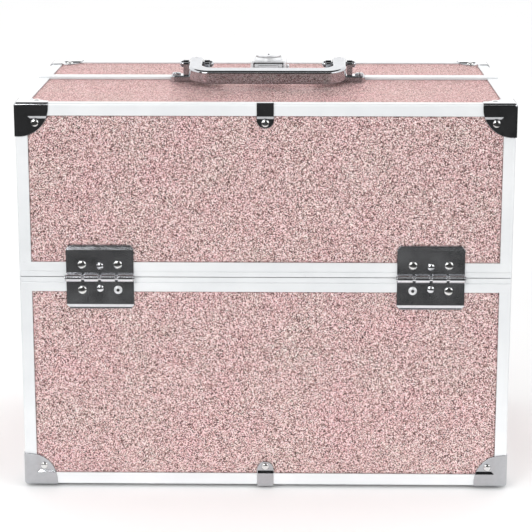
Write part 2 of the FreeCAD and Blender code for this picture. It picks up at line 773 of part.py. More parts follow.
def tray_set(name, depth, spacing, place):
    """Bars, rivets and both trays of one half; place puts them in front or at the rear."""
    for kind, offset in (("outer", 0), ("inner", spacing)):
        rivets = [bar_rivet(offset, reach, kind == "outer" and reach > BAR_REACH)
                  for reach in (BAR_REACH, UPPER_REACH)]
        save(name + "_" + kind + "_bars", [place(shape) for shape in both_x(bar(offset))])
        save(name + "_" + kind + "_bar_rivets", [place(shape) for shape in pairs(rivets)])
    save(name + "_lower_tray", [place(tray(BAR_REACH, depth, spacing, LOWER_ROWS))])
    save(name + "_upper_tray", [place(tray(UPPER_REACH, depth, spacing, UPPER_ROWS))])


def as_built(shape):
    return shape


# ---- the bail handle on the front half ----

BOARD_TOP = LID_TOP - RAIL_LEG
PIVOT_Z = BOARD_TOP + PIVOT_HEIGHT


def handle_bracket():
    """The right-hand bracket: a low block with two ears for the pivot pin."""
    half = BRACKET_LENGTH / 2
    back = FRONT_SEAM - SEAM_CLEAR
    top = BOARD_TOP + BRACKET_HEIGHT
    block = box(HANDLE_X - half, HANDLE_X + half, back - BRACKET_DEPTH, back, BOARD_TOP, top)
    block = rounded(block, BRACKET_CORNER, upright)
    block = rounded(block, BRACKET_ROUND, above(top))
    for side in (-1, 1):
        low = HANDLE_X + side * EAR_X - EAR_SHEET / 2
        high = low + EAR_SHEET
        ear = box(low, high, HANDLE_Y - EAR_RADIUS, HANDLE_Y + EAR_RADIUS, top - EAR_ROOT, PIVOT_Z)
        block = block.fuse(ear).fuse(across(EAR_RADIUS, low, high, (HANDLE_Y, PIVOT_Z)))
    block = block.removeSplitter()
    block = block.cut(across(HANDLE_PIN, HANDLE_X - half, HANDLE_X + half, (HANDLE_Y, PIVOT_Z)))
    return cut_all(block, screw_shanks())


def screw_places():
    y = FRONT_SEAM - SEAM_CLEAR - BRACKET_DEPTH / 2
    return [V(HANDLE_X + side * SCREW_X, y, BOARD_TOP + BRACKET_HEIGHT) for side in (-1, 1)]


def screw_shanks():
    return [cylinder(SHANK_RADIUS, place, V(0, 0, -BRACKET_HEIGHT - BOARD)) for place in screw_places()]


def handle_screw(place, shank):
    """A pan head with a cross recess, on its shank."""
    head = cylinder(SCREW_HEAD, place, V(0, 0, SCREW_HEAD_HEIGHT))
    head = rounded(head, SCREW_ROUND, above(place.z + SCREW_HEAD_HEIGHT))
    for long, wide in ((SCREW_CROSS, SCREW_CUT), (SCREW_CUT, SCREW_CROSS)):
        floor = place.z + SCREW_WEB
        head = head.cut(box(place.x - long, place.x + long, place.y - wide, place.y + wide, floor, FAR))
    return head.fuse(shank).removeSplitter()


def handle_screws():
    return [handle_screw(place, shank) for place, shank in zip(screw_places(), screw_shanks())]


def handle_pin():
    """A shaft through both ears, with a ball end outside each."""
    reach = EAR_X + EAR_SHEET / 2
    place = (HANDLE_Y, PIVOT_Z)
    pieces = [across(HANDLE_PIN, HANDLE_X - reach, HANDLE_X + reach, place)]
    for side in (-1, 1):
        ball = Part.makeSphere(PIN_BALL, V(HANDLE_X + side * (reach + PIN_BALL_OUT), *place), V(side, 0, 0))
        ends = sorted((HANDLE_X + side * reach, HANDLE_X + side * FAR))
        pieces.append(ball.common(box(*ends, -FAR, FAR, -FAR, FAR)))
    return fused(pieces)


def handle_bail():
    """A flat grip and two arms with ball ends, folded forward and down onto the lid."""
    outer_x = HANDLE_X + ARM_WIDTH / 2
    inner_x = HANDLE_X - ARM_WIDTH / 2
    half = BAIL_THICK / 2
    front = HANDLE_Y - BAIL_REACH
    back = front + GRIP_DEPTH
    body = box(-outer_x, outer_x, front, HANDLE_Y, -half, half)
    near = front + MARGIN
    body = rounded(body, BAIL_CORNER, lambda point, edge: upright(point, edge) and point.y < near)
    window = box(-inner_x, inner_x, back, FAR, -half - MARGIN, half + MARGIN)
    near = back + MARGIN
    window = rounded(window, BAIL_INNER, lambda point, edge: upright(point, edge) and point.y < near)
    body = body.cut(window)
    ends = HANDLE_Y - TOUCH
    body = rounded(body, BAIL_ROUND, lambda point, edge: not upright(point, edge) and point.y < ends)
    for side in (-1, 1):
        body = body.fuse(Part.makeSphere(LOBE_RADIUS, V(side * HANDLE_X, HANDLE_Y, 0), V(1, 0, 0)))
    body = body.removeSplitter()
    for side in (-1, 1):
        reach = LOBE_RADIUS + MARGIN
        bore = across(HANDLE_PIN + HOLE_FIT, side * HANDLE_X - reach, side * HANDLE_X + reach, (HANDLE_Y, 0))
        body = body.cut(bore)
    body.rotate(V(0, HANDLE_Y, 0), V(1, 0, 0), BAIL_DROOP)
    return body.translated(V(0, 0, PIVOT_Z))


# ---- the key lock on the rear half, and its strike on the front half ----

def around_lock(half_x, half_y, bottom, top):
    return box(-half_x, half_x, LOCK_Y - half_y, LOCK_Y + half_y, bottom, top)


def lock_housing():
    """A flange, a block with a flap window, and a cone that carries the key cylinder."""
    top = BOARD_TOP + FLANGE_THICK
    flange = rounded(around_lock(FLANGE_X, FLANGE_Y, BOARD_TOP, top), FLANGE_CORNER, upright)
    flange = rounded(flange, FINE_ROUND, above(top))
    top = BOARD_TOP + BLOCK_HEIGHT
    block = rounded(around_lock(BLOCK_X, BLOCK_Y, BOARD_TOP, top), BLOCK_CORNER, upright)
    block = rounded(block, BLOCK_ROUND, above(top))
    cone = Part.makeCone(BLOCK_Y - CONE_EDGE, CYLINDER_RADIUS + CONE_EDGE, CONE_HEIGHT, V(0, LOCK_Y, top))
    lug_y = [LOCK_Y + y for y in LUG_Y]
    lug_z = [BOARD_TOP + z for z in LUG_Z]
    end = BLOCK_X + LUG_REACH
    lug = rounded(box(0, end, *lug_y, *lug_z), FINE_ROUND, lambda point, edge: point.x > end - TOUCH)
    front = LOCK_Y - BLOCK_Y
    window_z = (BOARD_TOP + WINDOW_LOW, BOARD_TOP + WINDOW_HIGH)
    window = box(-WINDOW_X, WINDOW_X, front - MARGIN, front + WINDOW_DEPTH, *window_z)
    plug = cylinder(PLUG_RADIUS + HOLE_FIT, V(0, LOCK_Y, top - PLUG_DEPTH), V(0, 0, FAR))
    return cut_all(fused([flange, block, cone, lug]), [window, plug, flap_pin()])


FLAP_AXIS = (LOCK_Y - BLOCK_Y + FLAP_PIN_IN, BOARD_TOP + WINDOW_HIGH - FLAP_PIN_DOWN)


def flap_pin():
    return across(FLAP_PIN, -WINDOW_X - FLAP_PIN_END, WINDOW_X + FLAP_PIN_END, FLAP_AXIS)


def lock_flap():
    """The release flap in the housing's window, hung on its pin."""
    front = LOCK_Y - BLOCK_Y
    low = BOARD_TOP + WINDOW_LOW + FLAP_GAP
    high = BOARD_TOP + WINDOW_HIGH - FLAP_TOP
    half = WINDOW_X - FLAP_SIDE
    flap = box(-half, half, front + FLAP_CLEAR, front + FLAP_CLEAR + FLAP_THICK, low, high)
    flap = rounded(flap, FLAP_ROUND, lambda point, edge: abs(point.x) < MARGIN and point.z > high - TOUCH)
    half -= FLAP_GRIP_INSET
    grip = box(-half, half, front - FLAP_GRIP_OUT, front + FLAP_GRIP_IN, low, low + FLAP_GRIP_HEIGHT)
    return flap.fuse(grip).removeSplitter().cut(across(FLAP_PIN + HOLE_FIT, -FAR, FAR, FLAP_AXIS))


def lock_cylinder():
    """The key disc and its plug, with a keyway."""
    face = BOARD_TOP + BLOCK_HEIGHT + CONE_HEIGHT + DISC_LIFT
    disc = cylinder(CYLINDER_RADIUS, V(0, LOCK_Y, face), V(0, 0, DISC_HEIGHT))
    disc = rounded(disc, DISC_ROUND, above(face + DISC_HEIGHT))
    plug = cylinder(PLUG_RADIUS, V(0, LOCK_Y, face), V(0, 0, PLUG_END - CONE_HEIGHT - PLUG_DEPTH))
    keyway = around_lock(KEYWAY / 2, KEYWAY_LENGTH / 2, face - KEYWAY_DEPTH, FAR)
    return disc.fuse(plug).removeSplitter().cut(keyway)


def lock_strike():
    """A plate at the seam with an upright lip for the catch."""
    back = FRONT_SEAM - SEAM_CLEAR
    plate = box(-STRIKE_X, STRIKE_X, back - STRIKE_DEPTH, back, BOARD_TOP, BOARD_TOP + STRIKE_SHEET)
    seam = back - MARGIN
    plate = rounded(plate, STRIKE_CORNER, lambda point, edge: upright(point, edge) and point.y < seam)
    half = STRIKE_X - STRIKE_LIP_INSET
    lip = box(-half, half, back - STRIKE_SHEET, back, BOARD_TOP, BOARD_TOP + STRIKE_LIP)
    return plate.fuse(lip).removeSplitter()


# ---- boards, lining, feet ----

def foot():
    """A rubber foot with a push-in stem."""
    pad = cylinder(FOOT_RADIUS, V(FOOT_X, FOOT_Y, 0), V(0, 0, FOOT_HEIGHT + RAIL_LEG))
    pad = rounded(pad, FINE_ROUND, lambda point, edge: point.z < TOUCH)
    return pad.fuse(foot_stem()).removeSplitter()


def foot_stem():
    return cylinder(FOOT_STEM, V(FOOT_X, FOOT_Y, FOOT_HEIGHT + RAIL_LEG), V(0, 0, BOARD))


def wall_lining(bottom, top):
    """Front, rear, left and right sheets between the rails' inner legs."""
    face = RAIL_DEPTH
    front = box(-CORNER_X, CORNER_X, face - LINING - HALF_D, face - HALF_D, bottom, top)
    side = box(HALF_W - face, HALF_W - face + LINING, -CORNER_Y, CORNER_Y, bottom, top)
    return both_y(front) + both_x(side)


def base_parts():
    front, rear, side = BASE_BOARDS
    stud_holes = both_y(stud_hole(0)) + [stud_hole(FRONT_BAR_SPACING), mirror_y(stud_hole(REAR_BAR_SPACING))]
    side = cut_all(side, stud_holes)
    save("base_front_panel", [cut_all(front, BASE_SHANKS)])
    save("base_rear_panel", [cut_all(rear, BASE_SHANKS)])
    save("base_side_panels", both_x(cut_all(side, BASE_SHANKS)))
    save("base_floor_panel", [cut_all(FLOOR_BOARD, BASE_SHANKS + four(foot_stem()))])
    base_rails()
    save("base_corner_caps", four(at_base_corner(CORNER_CAP)))
    save("base_centre_clips", both_y(at_base_middle(CENTRE_CLIP)))
    small = on_four([at_base_corner(shape) for shape in CAP_RIVETS]) + on_four(leaf_rivets(-1))
    save("base_rivets", small + both_y(at_base_middle(rivet(*CLIP_RIVET))))
    save("hinge_lower_leaves", four(hinge_leaf(-1, LOWER_KNUCKLES)))
    save("hinge_pins", four(hinge_pin()))
    save("feet", four(foot()))
    lining = wall_lining(BASE_FLOOR + RAIL_WIDTH, BASE_RIM - RIM_RAIL_HEIGHT)
    save("base_lining", [cut_all(sheet, pairs(stud_holes)) for sheet in lining])
    pad_x = CORNER_X - PAD_CLEAR
    pad_y = CORNER_Y - PAD_CLEAR
    floor = BASE_FLOOR + RAIL_LEG + BOARD
    save("floor_pad", [box(-pad_x, pad_x, -pad_y, pad_y, floor, floor + PAD_THICK)])
    studs = [stud(0), mirror_y(stud(0)), stud(FRONT_BAR_SPACING), mirror_y(stud(REAR_BAR_SPACING))]
    save("tray_bar_studs", pairs(studs))


def lid_parts(name, half, place):
    """One half lid: half trims what spans the case, and place sends the front half's fittings there."""
    front, rear, side = LID_BOARDS
    wall = front if name == "front" else rear
    shanks = LID_SHANKS + pairs(screw_shanks()) + [place(rivet) for rivet in pairs(slot_plate_rivets())]
    save(name + "_lid_" + name + "_panel", [cut_all(wall, shanks)])
    save(name + "_lid_top_panel", [half(cut_all(TOP_BOARD, shanks if name == "front" else LID_SHANKS))])
    save(name + "_lid_side_panels", [half(cut_all(board, shanks)) for board in both_x(side)])
    lid_rails(name, half)
    save(name + "_lid_corner_caps", [place(shape) for shape in both_x(at_lid_corner(CORNER_CAP))])
    save(name + "_lid_centre_clip", [place(at_lid_middle(CENTRE_CLIP))])
    small = pairs([at_lid_corner(shape) for shape in CAP_RIVETS] + leaf_rivets(1) + slot_plate_rivets())
    save(name + "_lid_rivets", [place(shape) for shape in small + [at_lid_middle(rivet(*CLIP_RIVET))]])
    save(name + "_hinge_upper_leaves", [place(shape) for shape in both_x(hinge_leaf(1, UPPER_KNUCKLES))])
    sheets = wall_lining(LID_RIM + RIM_RAIL_HEIGHT, LID_TOP - RAIL_WIDTH)
    under = LID_TOP - RAIL_LEG - BOARD
    sheets.append(box(-CORNER_X, CORNER_X, -CORNER_Y, CORNER_Y, under - LINING, under))
    save(name + "_lid_lining", [half(cut_all(sheet, shanks)) for sheet in sheets])
    save(name + "_slot_plates", [place(shape) for shape in both_x(slot_plate())])


def handle_and_lock():
    save("handle_brackets", both_x(handle_bracket()))
    save("handle_screws", pairs(handle_screws()))
    save("handle_pins", both_x(handle_pin()))
    save("handle_bail", [handle_bail()])
    save("lock_housing", [lock_housing()])
    save("lock_flap", [lock_flap()])
    save("lock_flap_pin", [flap_pin()])
    save("lock_cylinder", [lock_cylinder()])
    save("lock_strike", [lock_strike()])


os.makedirs("parts", exist_ok=True)
base_parts()
lid_parts("front", front_only, as_built)
lid_parts("rear", rear_only, mirror_y)
save("rear_lid_seam_strip", [seam_band()])
handle_and_lock()
tray_set("front", FRONT_TRAY_DEPTH, FRONT_BAR_SPACING, as_built)
tray_set("rear", REAR_TRAY_DEPTH, REAR_BAR_SPACING, mirror_y)
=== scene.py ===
"""Looks for the makeup train case: glitter boards, satin strips, chrome hardware, lining, pad and trays.

Metres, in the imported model's frame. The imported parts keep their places, and new pieces ride on its bodies.
"""
import math

import bmesh
import bpy
from mathutils import Matrix, Vector, noise


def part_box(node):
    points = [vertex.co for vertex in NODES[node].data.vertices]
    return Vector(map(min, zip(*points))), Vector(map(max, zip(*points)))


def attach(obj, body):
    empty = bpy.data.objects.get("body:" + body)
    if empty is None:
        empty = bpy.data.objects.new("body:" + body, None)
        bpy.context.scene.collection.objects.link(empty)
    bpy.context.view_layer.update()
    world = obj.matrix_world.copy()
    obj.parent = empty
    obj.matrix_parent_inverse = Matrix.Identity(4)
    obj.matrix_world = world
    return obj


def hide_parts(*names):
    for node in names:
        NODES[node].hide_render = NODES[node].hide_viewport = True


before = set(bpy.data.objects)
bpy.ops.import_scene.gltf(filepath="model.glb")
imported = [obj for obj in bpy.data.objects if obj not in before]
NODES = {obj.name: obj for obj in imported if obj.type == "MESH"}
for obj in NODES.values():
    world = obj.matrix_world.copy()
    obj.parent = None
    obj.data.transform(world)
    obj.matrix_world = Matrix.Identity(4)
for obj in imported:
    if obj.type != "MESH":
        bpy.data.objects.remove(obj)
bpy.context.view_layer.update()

SHELLS = ("base", "front_lid", "rear_lid")
CASE_MIDDLE = (Vector(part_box("base_bottom_rails")[0]) + Vector(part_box("rear_lid_edge_rails")[1])) / 2
MM = 0.001
WHITE = (1.0, 1.0, 1.0, 1.0)
BLACK = (0.0, 0.0, 0.0, 1.0)

# Camera: a long lens in front of the case, a little right of its middle, looking down
CAMERA_PLACE = (0.0230, -1.5023, 0.5049)
CAMERA_PITCH = 13.46       # degrees below level
CAMERA_TURN = 0.93         # degrees to the left
CAMERA_LENS = 130.0
CAMERA_REACH = 100.0
SENSOR = 36.0

# Shading
NOISE_LOW = 0.3            # most of a noise lies above this
NOISE_HIGH = 0.7           # and below this
EDGE_SAMPLES = 6
CREVICE_SAMPLES = 8

# Glitter film: stops are (position, colour or grey)
FLAKE = 0.52 * MM          # width of one flake
FLAKE_TILT = 0.75
FLAKE_SHADES = [(0.0, (0.02, 0.012, 0.012)), (0.34, (0.24, 0.15, 0.145)), (0.50, (0.72, 0.47, 0.46)),
                (0.78, (0.98, 0.76, 0.75)), (1.0, (1.0, 0.96, 0.95))]
FLAKE_TINTS = [(0.0, (1.0, 0.88, 0.93)), (1.0, (0.94, 1.0, 0.93))]
FLAKE_GLINT = (0.85, 0.42, 0.38, 1.0)
FILM_ROSE = (1.0, 0.92, 0.94)
FILM_MINT = (0.96, 1.0, 0.97)
EDGE_SHADE = 1.3 * MM      # painted shade: the film's colour is darkened this close to a strip
EDGE_STOPS = [(0.45, 0.30), (0.92, 1.0)]

# Metals
SATIN_DARK = (0.745, 0.765, 0.78)
SATIN_LIGHT = (0.85, 0.865, 0.875)
SCUFF_STOPS = [(0.66, 1.0), (0.74, 0.90)]
CASTING_DARK = (0.66, 0.67, 0.685)
CASTING_LIGHT = (0.80, 0.81, 0.82)
CREVICE = 2.0 * MM         # painted shade: castings are darkened where another surface is this close
CREVICE_STOPS = [(0.35, 0.06), (0.85, 1.0)]
CHROME = (0.53, 0.54, 0.56)
RIVET = (0.84, 0.84, 0.83)
HINGE = (0.80, 0.81, 0.84)
ARM = (0.60, 0.61, 0.62)
STAIN = 0.94               # share of a plating's colour left where it is stained
SMEAR = 0.90               # and where it is smudged
WAVE = 38.0                # slow waves per metre in pressed sheet

# How much a grain is squeezed along each axis: it runs along the axis with the least
STRIP_GRAIN = (0.012, 1.0, 1.0)
POST_GRAIN = (1.0, 1.0, 0.012)
CHROME_GRAIN = (1.0, 0.06, 0.6)
HINGE_GRAIN = (0.05, 1.0, 1.0)
ARM_GRAIN = (1.0, 0.6, 0.05)

# Cloth, plastic and rubber
LINING = (0.020, 0.020, 0.023)
LINING_RANGE = (0.7, 1.4)  # shares of its colour from the darkest to the lightest patch
TRAY = (0.024, 0.024, 0.027)
RUBBER = (0.030, 0.030, 0.030)
MOULDED_RANGE = (0.8, 1.25)
HANDLED_STOPS = [(0.64, 0.0), (0.72, 0.10)]

# Meshes
WELD = 1e-6                # points this close are one
SORT_PLACES = 6            # decimals that solids are sorted by
SHARP_ANGLE = 38           # degrees

# Lining sheets: how far from the border each row of points lies, and heights as shares of the thickness
BORDER_ROWS = [offset * MM for offset in (0, 0.5, 1.2, 2.2, 4, 6, 7, 7.6, 8.2, 8.8, 9.8, 12)]
SHEET_PITCH = 6 * MM
SHEET_EDGE = 0.35
SHEET_RISE = 0.55          # from the edge to the field
SHEET_ROLL = 3 * MM        # width of the rolled border
SHEET_LEAST = 0.2
STITCH_LINE = 8.2 * MM
STITCH_WIDTH = 0.8 * MM
STITCH_DEPTH = 0.40
SHEET_WAVE = 0.07
SHEET_WAVES = 24           # per metre
SHEET_SEED = 1.7

# Floor pad: diamond quilting inside a piped border, with heights as shares of the thickness
PAD_ROWS = [offset * MM for offset in (0, 0.4, 1, 1.8, 2.8, 4, 5.2, 6, 6.6, 7.2, 8, 9.2)]
PAD_PITCH = 1.9 * MM
PAD_PULL = 1.6 * MM        # its sides pull in this much between the corners
PAD_EDGE = 0.25
PAD_ROLL = 4 * MM
QUILT = 38 * MM            # from one sewn channel to the next
PILLOW_FOOT = 0.62
PILLOW_RISE = 0.36
PILLOW_ROUND = 0.45        # the lower, the flatter a pillow's top
PIPE_LINE = 6.5 * MM
PIPE_WIDTH = 1.2 * MM
PIPE_DEPTH = 0.20

# Rivets
TURNS = 28
DOME = 1.3 * MM
DOME_STEPS = 8
DOME_SHARE = 0.86          # the curve's share of the dome, above its rim
RIM = 0.18 * MM
CROWN = 0.12 * MM          # radius of the small flat on a full head
HOLLOW_MOUTH = 1.2 * MM
LIP = (0.92, 0.62)         # a hollow head's lip: shares of the mouth's radius and of the dome's height
THROAT = 0.9               # share of the mouth's radius
THROAT_FLOOR = 0.3 * MM
INNER_BANDS = 2            # the lip and the throat
HOLLOW_LEAST = 1.0 * MM    # a hollow solid has no point nearer its axis
HEAD_LEAST = 2 * MM        # a solid with a smaller radius is a shank
COLLAR = [(1.5, -0.5 * MM), (1.7, -0.1 * MM), (1.7, 0.05 * MM)]    # (share of the shank's radius, height)

# Stage
RING_STEPS = 96
WALL_STEPS = 72
FRONT = -90                # compass angles, in degrees
REAR = 90
FLOOR_RADIUS = 30.0
WORLD_STRENGTH = 1.05
DIM_FLOOR = (0.34, 14.0)   # the dark ring's inner and outer radius
DIM_FLOOR_LIFT = 2 * MM
DIM_FADE_END = 0.52        # what is dim fades in from the ring's inner radius to this far out
DIM_STOPS = [(0.35, 0.01), (0.65, 0.055)]
CEILING_HEIGHT = 2.7
CEILING_RADIUS = 2.1
WALL_RADIUS = 6.0
WALL_BOTTOM = 0.3
WALL_TOP = 6.5
WALL_GLOW = 1.5
DIM_WALL_TOP = 5.4
DIM_WALL_SPREAD = 110      # degrees about the front


# ---- materials ----

class Shader:
    """A material being wired: adds nodes, sets their inputs and links their outputs."""

    def __init__(self, name):
        self.material = bpy.data.materials.new(name)
        self.material.use_nodes = True
        self.tree = self.material.node_tree
        self.surface = self.tree.nodes["Principled BSDF"]
        self.place = self.add("TexCoord").outputs["Object"]

    def add(self, kind, settings=None, **inputs):
        node = self.tree.nodes.new("ShaderNode" + kind)
        for key, value in (settings or {}).items():
            setattr(node, key, value)
        for key, value in inputs.items():
            self.plug(node, key.replace("_", " "), value)
        return node

    def plug(self, node, key, value):
        socket = node.inputs[key]
        if isinstance(value, bpy.types.NodeSocket):
            self.tree.links.new(value, socket)
        else:
            socket.default_value = value

    def set(self, **inputs):
        for key, value in inputs.items():
            self.plug(self.surface, key.replace("_", " "), value)

    def noise(self, scale, detail=3.0, roughness=0.5, grain=(1, 1, 1)):
        """Noise over object coordinates, which are squeezed where a grain runs along an axis."""
        place = self.add("Mapping", Vector=self.place, Scale=grain).outputs[0]
        node = self.add("TexNoise", Vector=place, Scale=scale, Detail=detail, Roughness=roughness)
        return node.outputs["Fac"]

    def ramp(self, factor, stops):
        """A colour ramp; stops are (position, colour) with grey given as one number."""
        node = self.add("ValToRGB", Fac=factor)
        elements = node.color_ramp.elements
        while len(elements) < len(stops):
            elements.new(1.0)
        for element, (position, colour) in zip(elements, stops):
            element.position = position
            element.color = (*colour, 1.0) if isinstance(colour, tuple) else (colour, colour, colour, 1.0)
        return node.outputs["Color"]

    def between(self, value, low, high):
        """From one colour to another over the values that a noise mostly takes."""
        return self.ramp(value, [(NOISE_LOW, low), (NOISE_HIGH, high)])

    def span(self, value, low, high, start=0.0, end=1.0):
        """Carry a value from start..end to low..high."""
        node = self.add("MapRange", Value=value, From_Min=start, From_Max=end, To_Min=low, To_Max=high)
        return node.outputs["Result"]

    def math(self, operation, first, second):
        node = self.add("Math", {"operation": operation})
        self.plug(node, 0, first)
        self.plug(node, 1, second)
        return node.outputs[0]

    def vector(self, operation, first, second=None, **inputs):
        node = self.add("VectorMath", {"operation": operation}, **inputs)
        self.plug(node, 0, first)
        if second is not None:
            self.plug(node, 1, second)
        return node.outputs[0]

    def times(self, colour, other):
        """Two colours multiplied."""
        node = self.add("Mix", {"data_type": "RGBA", "blend_type": "MULTIPLY"})
        node.inputs[0].default_value = 1.0
        self.plug(node, 6, colour)
        self.plug(node, 7, other)
        return node.outputs[2]

    def bump(self, height, strength, distance, normal=None):
        node = self.add("Bump", Height=height, Strength=strength, Distance=distance)
        if normal is not None:
            self.plug(node, "Normal", normal)
        return node.outputs["Normal"]

    def soft_edges(self, radius):
        """Normals rounded over the edges of sheet metal."""
        return self.add("Bevel", {"samples": EDGE_SAMPLES}, Radius=radius).outputs["Normal"]

    def openness(self, distance, samples):
        """From 0 deep in a gap to 1 where nothing is nearer than distance."""
        return self.add("AmbientOcclusion", {"samples": samples}, Distance=distance).outputs["AO"]


def scaled(colour, share):
    """A darker or lighter shade of a colour."""
    return tuple(part * share for part in colour)


def glitter():
    """Pink glitter film: every flake has its own tone and tilt, and painted shade darkens the film beside a
    strip.
    """
    shader = Shader("glitter_film")
    cells = shader.add("TexVoronoi", Vector=shader.place, Scale=1 / FLAKE, Randomness=1.0)
    chance, hue = shader.add("SeparateColor", Color=cells.outputs["Color"]).outputs[:2]
    flakes = shader.ramp(chance, FLAKE_SHADES)
    tint = shader.ramp(hue, FLAKE_TINTS)
    cloud = shader.noise(scale=26.0, detail=4.0, roughness=0.6)
    tone = shader.between(cloud, FILM_ROSE, FILM_MINT)
    # painted shade: ambient occlusion darkens the film's colour beside each strip
    shade = shader.ramp(shader.openness(EDGE_SHADE, EDGE_SAMPLES), EDGE_STOPS)
    coloured = shader.times(shader.times(flakes, tint), tone)
    shader.set(Base_Color=shader.times(coloured, shade))
    centred = shader.vector("SUBTRACT", cells.outputs["Color"], (0.5, 0.5, 0.5))
    lean = shader.vector("SCALE", centred, Scale=FLAKE_TILT)
    tilted = shader.vector("ADD", lean, shader.add("NewGeometry").outputs["Normal"])
    unit = shader.vector("NORMALIZE", tilted)
    shader.set(Normal=unit, Metallic=0.35, Roughness=0.27, Specular_IOR_Level=0.1, Specular_Tint=FLAKE_GLINT)
    return shader.material


def satin_aluminium(name, grain):
    """Anodised strip: fine lines along the extrusion, cloudy wear and a few scuffs."""
    shader = Shader(name)
    lines = shader.noise(scale=900.0, detail=2.0, roughness=0.6, grain=grain)
    cloud = shader.noise(scale=14.0, detail=4.0, roughness=0.6)
    scuff = shader.ramp(shader.noise(scale=170.0, detail=6.0, roughness=0.75), SCUFF_STOPS)
    shade = shader.math("ADD", shader.span(lines, low=-0.06, high=0.06), cloud)
    colour = shader.between(shade, SATIN_DARK, SATIN_LIGHT)
    shader.set(Base_Color=shader.times(colour, scuff), Metallic=0.28,
               Roughness=shader.span(cloud, low=0.30, high=0.46),
               Normal=shader.bump(lines, strength=0.10, distance=0.2 * MM,
                                  normal=shader.soft_edges(0.5 * MM)))
    return shader.material


def plated(name, colour, rough, wear, edge, grain=CHROME_GRAIN, haze=0.0):
    """Plated metal: smudges in the gloss and fine handling scratches, over rounded edges.

    Smudges add wear to the roughness. haze is how much they dull the plating.
    """
    shader = Shader(name)
    smudge = shader.noise(scale=60.0, detail=5.0, roughness=0.65)
    scratch = shader.noise(scale=1500.0, detail=1.0, roughness=0.5, grain=grain)
    tone = shader.between(smudge, SMEAR, 1.0)
    stain = shader.noise(scale=240.0, detail=4.0, roughness=0.7)
    stained = shader.between(stain, scaled(colour, STAIN), colour)
    wave = shader.noise(scale=WAVE, detail=2.0)
    wavy = shader.bump(wave, strength=0.5, distance=0.5 * MM, normal=shader.soft_edges(edge))
    metal = shader.span(smudge, low=1.0 - haze, high=1.0, start=0.35, end=0.65) if haze else 1.0
    shader.set(Base_Color=shader.times(stained, tone), Metallic=metal,
               Roughness=shader.span(smudge, rough, rough + wear, NOISE_LOW, NOISE_HIGH),
               Normal=shader.bump(scratch, strength=0.035, distance=0.1 * MM, normal=wavy))
    return shader.material


def satin_casting():
    """Satin-plated die casting: a fine skin, and painted shade that darkens its gaps."""
    shader = Shader("satin_casting")
    skin = shader.noise(scale=620.0, detail=3.0, roughness=0.6)
    cloud = shader.noise(scale=45.0, detail=4.0, roughness=0.6)
    # painted shade: ambient occlusion darkens the casting's colour in its gaps
    shade = shader.ramp(shader.openness(CREVICE, CREVICE_SAMPLES), CREVICE_STOPS)
    colour = shader.between(cloud, CASTING_DARK, CASTING_LIGHT)
    shader.set(Base_Color=shader.times(colour, shade), Metallic=0.45,
               Roughness=shader.span(cloud, low=0.24, high=0.36),
               Normal=shader.bump(skin, strength=0.08, distance=0.1 * MM,
                                  normal=shader.soft_edges(0.4 * MM)))
    return shader.material


def lining_cloth():
    """Black textured lining: a small pebble grain with a dull sheen."""
    shader = Shader("lining_cloth")
    cells = shader.add("TexVoronoi", {"feature": "DISTANCE_TO_EDGE"}, Vector=shader.place, Scale=560.0)
    pebbles = shader.span(cells.outputs["Distance"], low=0.0, high=1.0, start=0.0, end=0.25)
    cloud = shader.noise(scale=18.0)
    darkest, lightest = (scaled(LINING, share) for share in LINING_RANGE)
    shader.set(Base_Color=shader.between(cloud, darkest, lightest),
               Roughness=shader.span(pebbles, low=0.88, high=0.5),
               Sheen_Weight=0.25, Sheen_Roughness=0.5,
               Normal=shader.bump(pebbles, strength=0.6, distance=0.6 * MM))
    return shader.material


def moulded(name, colour, rough):
    """Moulded plastic or rubber with a spark-eroded grain and handling marks."""
    shader = Shader(name)
    sparked = shader.noise(scale=1400.0, detail=3.0, roughness=0.6)
    cloud = shader.noise(scale=22.0)
    handled = shader.ramp(shader.noise(scale=130.0, detail=6.0, roughness=0.75), HANDLED_STOPS)
    darkest, lightest = (scaled(colour, share) for share in MOULDED_RANGE)
    matt = shader.span(cloud, low=rough - 0.05, high=rough + 0.08, start=NOISE_LOW, end=NOISE_HIGH)
    shader.set(Base_Color=shader.between(cloud, darkest, lightest),
               Roughness=shader.math("ADD", matt, handled),
               Normal=shader.bump(sparked, strength=0.22, distance=0.2 * MM,
                                  normal=shader.soft_edges(0.5 * MM)))
    return shader.material


def dress(material, *names):
    """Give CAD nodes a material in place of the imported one."""
    for name in names:
        slots = NODES[name].data.materials
        slots.clear()
        slots.append(material)


def named(*parts):
    """CAD nodes whose name holds any of these words."""
    return [name for name in sorted(NODES) if any(part in name for part in parts)]


MATERIALS = {
    "glitter": glitter(),
    "strip": satin_aluminium("satin_strip", STRIP_GRAIN),
    "post": satin_aluminium("satin_post", POST_GRAIN),
    "chrome": plated("chrome_plate", CHROME, rough=0.05, wear=0.06, edge=0.45 * MM),
    "rivet": plated("rivet_plate", RIVET, rough=0.15, wear=0.08, edge=0.2 * MM),
    "casting": satin_casting(),
    "hinge": plated("hinge_plate", HINGE, rough=0.09, wear=0.09, edge=0.35 * MM, grain=HINGE_GRAIN,
                    haze=0.06),
    "arm": plated("arm_plate", ARM, rough=0.26, wear=0.12, edge=0.35 * MM, grain=ARM_GRAIN),
    "lining": lining_cloth(),
    "tray": moulded("tray_plastic", TRAY, rough=0.36),
    # black rubber for the feet; it is also painted shade inside the hollow rivet heads
    "foot": moulded("foot_rubber", RUBBER, rough=0.72),
}


